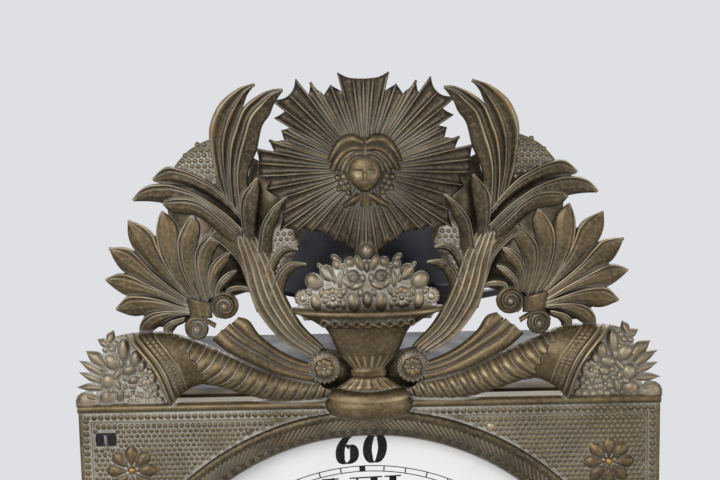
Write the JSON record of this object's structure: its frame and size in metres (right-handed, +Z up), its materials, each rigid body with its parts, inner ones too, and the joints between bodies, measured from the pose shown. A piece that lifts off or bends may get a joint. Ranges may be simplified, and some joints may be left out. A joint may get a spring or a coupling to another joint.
{
  "type": "comtoise clock",
  "caption": "Wall-hung comtoise clock: iron cage movement with going and strike trains, stamped brass fronton and dial surround, enamel dial, bell and pendulum.",
  "frame": {"origin": "centre of the hanging hole, on the wall", "axes": "+X right, +Y into the wall, +Z up"},
  "size_m": [0.2666, 0.1592, 0.6955],
  "materials": {
    "aged_brass": "stamped, darkened",
    "bright_brass": "polished, worn",
    "iron": "dark, smooth",
    "steel": "satin",
    "enamel": "gloss",
    "bell_bronze": "blackened"
  },
  "bodies": {
    "case": {"fronton": "aged_brass", "dial_surround": "aged_brass", "surround_posts": "bright_brass", "split_pin": "iron", "surround_rivets": "aged_brass", "dial": "enamel", "front_frame": "bright_brass", "top_plate": "iron", "bottom_plate": "iron", "corner_pillars": "iron", "back_sheet": "iron", "hanging_plate": "iron", "wall_spurs": "iron", "bell_post": "iron", "bell": "bell_bronze", "bell_nut": "iron", "going_front_bar": "iron", "going_rear_bar": "iron", "strike_front_bar": "iron", "strike_rear_bar": "iron", "suspension_cock": "iron"},
    "hands": {"centre_wheel": "bright_brass", "cannon_pinion": "bright_brass", "minute_hand": "bright_brass", "hand_nut": "bright_brass"},
    "going_great": {"going_great_wheel": "bright_brass", "going_click": "steel"},
    "going_barrel": {"going_drum": "steel"},
    "third": {"third_wheel": "bright_brass"},
    "escape": {"escape_wheel": "bright_brass"},
    "minute": {"minute_wheel": "bright_brass"},
    "hour": {"hour_wheel": "bright_brass", "hour_hand": "bright_brass"},
    "pendulum": {"suspension_spring": "steel", "pendulum_rod": "steel", "pendulum_bob": "bright_brass", "rating_nut": "bright_brass"},
    "anchor_arbor": {"anchor": "steel"},
    "pins": {"pin_wheel": "bright_brass"},
    "strike_great": {"strike_great_wheel": "bright_brass", "strike_click": "steel"},
    "strike_barrel": {"strike_drum": "steel"},
    "hoop": {"hoop_wheel": "bright_brass"},
    "fly": {"strike_fly": "bright_brass"},
    "hammer_arbor": {"hammer": "iron"},
    "door_left": {"left_door": "iron", "left_door_knob": "bright_brass"},
    "door_right": {"right_door": "iron", "right_door_knob": "bright_brass"}
  },
  "joints": [
    {"name": "hands_turn", "type": "hinge", "parent": "case", "child": "hands", "pos_m": [0, -0.05, -0.14], "axis": [0, -1, 0], "continuous": true},
    {"name": "going_great_turn", "type": "hinge", "parent": "case", "child": "going_great", "pos_m": [-0.04503, -0.05, -0.166], "axis": [0, -1, 0], "continuous": true},
    {"name": "third_turn", "type": "hinge", "parent": "case", "child": "third", "pos_m": [-0.02, -0.05, -0.10536], "axis": [0, -1, 0], "continuous": true},
    {"name": "escape_turn", "type": "hinge", "parent": "case", "child": "escape", "pos_m": [0, -0.05, -0.08193], "axis": [0, -1, 0], "continuous": true},
    {"name": "minute_wheel_turn", "type": "hinge", "parent": "case", "child": "minute", "pos_m": [0.024, -0.05, -0.14], "axis": [0, -1, 0], "continuous": true},
    {"name": "hour_turn", "type": "hinge", "parent": "case", "child": "hour", "pos_m": [0, -0.05, -0.14], "axis": [0, -1, 0], "continuous": true},
    {"name": "going_winding", "type": "hinge", "parent": "going_great", "child": "going_barrel", "pos_m": [-0.04503, -0.05, -0.166], "axis": [0, -1, 0], "continuous": true},
    {"name": "pin_wheel_turn", "type": "hinge", "parent": "case", "child": "pins", "pos_m": [0.04503, -0.05, -0.114], "axis": [0, -1, 0], "continuous": true},
    {"name": "strike_great_turn", "type": "hinge", "parent": "case", "child": "strike_great", "pos_m": [0.04503, -0.05, -0.166], "axis": [0, -1, 0], "continuous": true},
    {"name": "hoop_turn", "type": "hinge", "parent": "case", "child": "hoop", "pos_m": [0.06503, -0.05, -0.07936], "axis": [0, -1, 0], "continuous": true},
    {"name": "fly_turn", "type": "hinge", "parent": "case", "child": "fly", "pos_m": [0.04716, -0.05, -0.05729], "axis": [0, -1, 0], "continuous": true},
    {"name": "strike_winding", "type": "hinge", "parent": "strike_great", "child": "strike_barrel", "pos_m": [0.04503, -0.05, -0.166], "axis": [0, -1, 0], "continuous": true},
    {"name": "pendulum_swing", "type": "hinge", "parent": "case", "child": "pendulum", "pos_m": [0, -0.1155, -0.05294], "axis": [0, -1, 0], "range_deg": [-3.5, 3.5]},
    {"name": "anchor_rock", "type": "hinge", "parent": "case", "child": "anchor_arbor", "pos_m": [0, -0.05, -0.05294], "axis": [0, -1, 0], "range_deg": [-3.5, 3.5]},
    {"name": "hammer_lift", "type": "hinge", "parent": "case", "child": "hammer_arbor", "pos_m": [0.10034, -0.05734, -0.14], "axis": [0, 0, 1], "range_deg": [0, 12], "stiffness_Nm_per_rad": 0.05},
    {"name": "left_door_hinge", "type": "hinge", "parent": "case", "child": "door_left", "pos_m": [-0.1266, -0.009, -0.14], "axis": [0, 0, -1], "range_deg": [0, 100]},
    {"name": "right_door_hinge", "type": "hinge", "parent": "case", "child": "door_right", "pos_m": [0.1266, -0.009, -0.14], "axis": [0, 0, 1], "range_deg": [0, 100]}
  ],
  "couplings": [
    {"joint": "hands_turn", "follows": "third_turn", "ratio": -0.11111},
    {"joint": "going_great_turn", "follows": "third_turn", "ratio": 0.0092593},
    {"joint": "escape_turn", "follows": "third_turn", "ratio": -10},
    {"joint": "minute_wheel_turn", "follows": "third_turn", "ratio": 0.037037},
    {"joint": "hour_turn", "follows": "third_turn", "ratio": -0.0092593},
    {"joint": "pin_wheel_turn", "follows": "hoop_turn", "ratio": -0.11111},
    {"joint": "strike_great_turn", "follows": "hoop_turn", "ratio": 0.0092593},
    {"joint": "fly_turn", "follows": "hoop_turn", "ratio": -9.1429},
    {"joint": "anchor_rock", "follows": "pendulum_swing", "ratio": 1}
  ]
}
